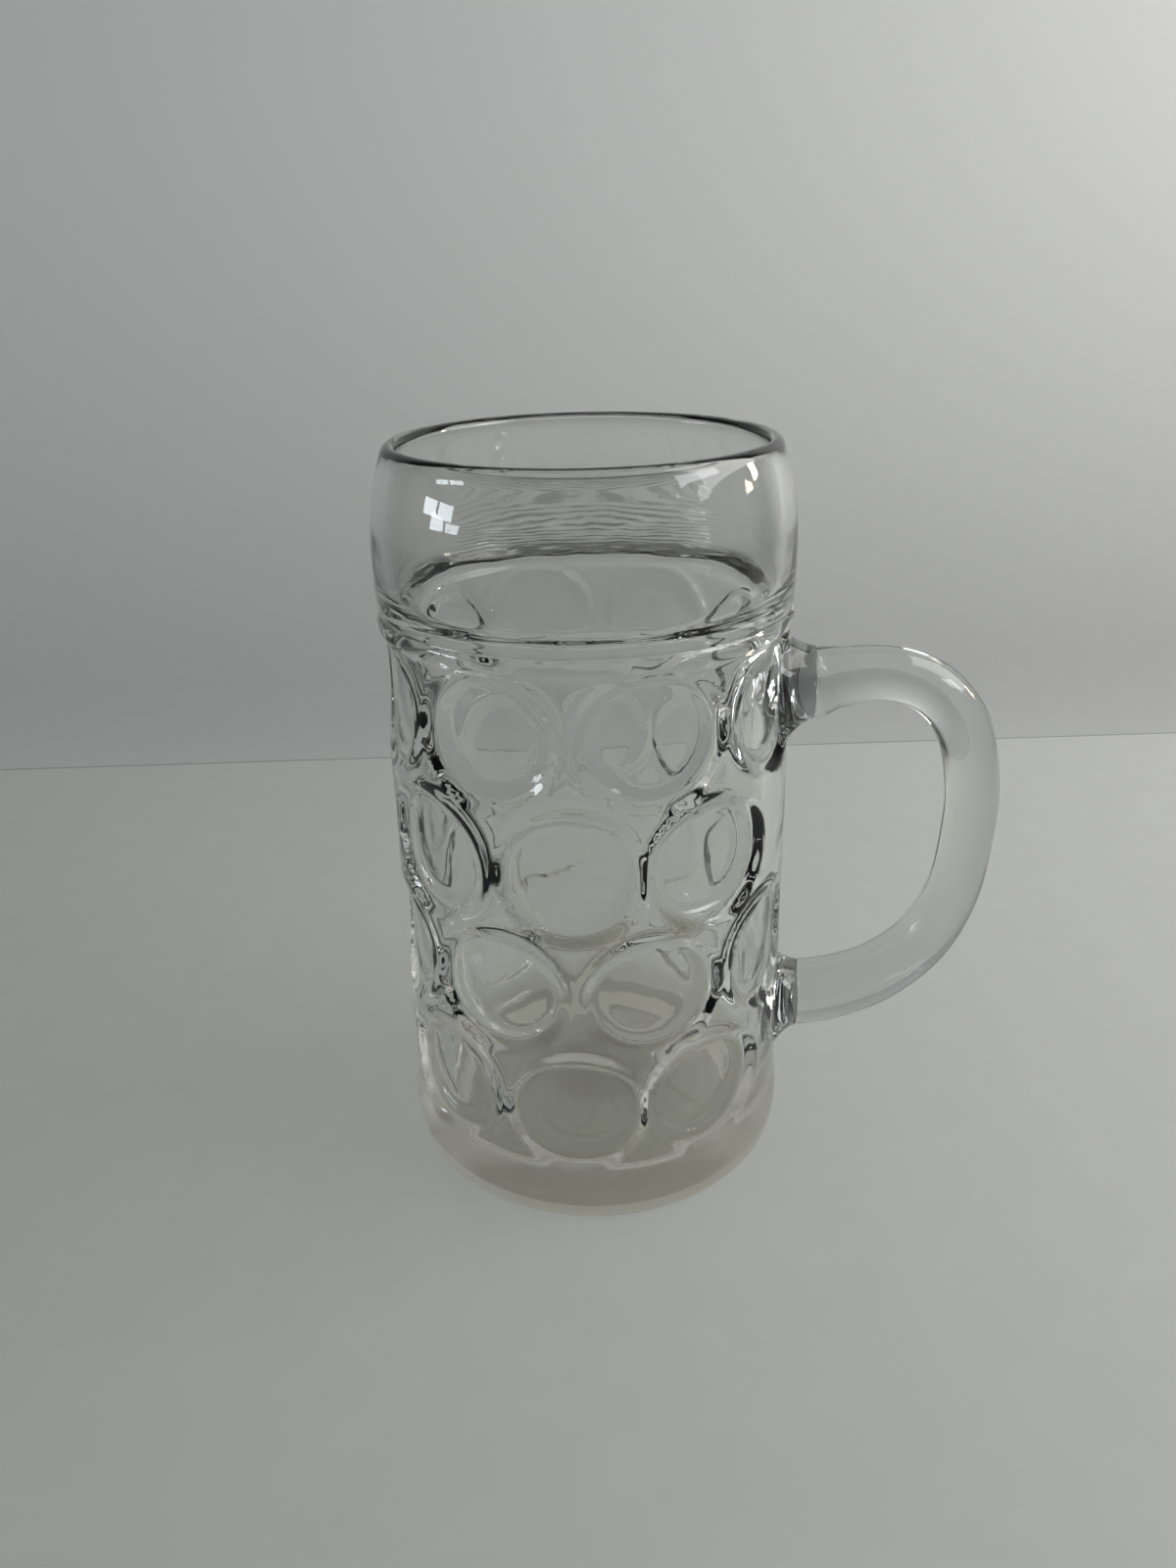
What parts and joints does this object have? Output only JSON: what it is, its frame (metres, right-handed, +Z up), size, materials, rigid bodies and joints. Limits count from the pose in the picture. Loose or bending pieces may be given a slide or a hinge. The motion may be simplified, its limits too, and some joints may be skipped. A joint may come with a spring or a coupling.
{
  "type": "dimpled glass beer mug",
  "caption": "Tall clear glass drinking mug with a thick base, a dimpled wall, a plain rounded collar and a solid glass loop handle welded on at two pads.",
  "frame": {"origin": "on the mug's axis, on the plane it stands on", "axes": "+Z up along the mug's axis, +X from the axis towards the handle, which lies in the XZ plane"},
  "size_m": [0.1656, 0.1098, 0.2],
  "materials": {
    "body_glass": "clear, fire-polished, faintly rippled from the mould",
    "handle_glass": "clear, fire-polished, softly drawn"
  },
  "bodies": {
    "root": {"mug_body": "body_glass", "handle": "handle_glass", "upper_handle_pad": "handle_glass", "lower_handle_pad": "handle_glass"}
  },
  "joints": []
}
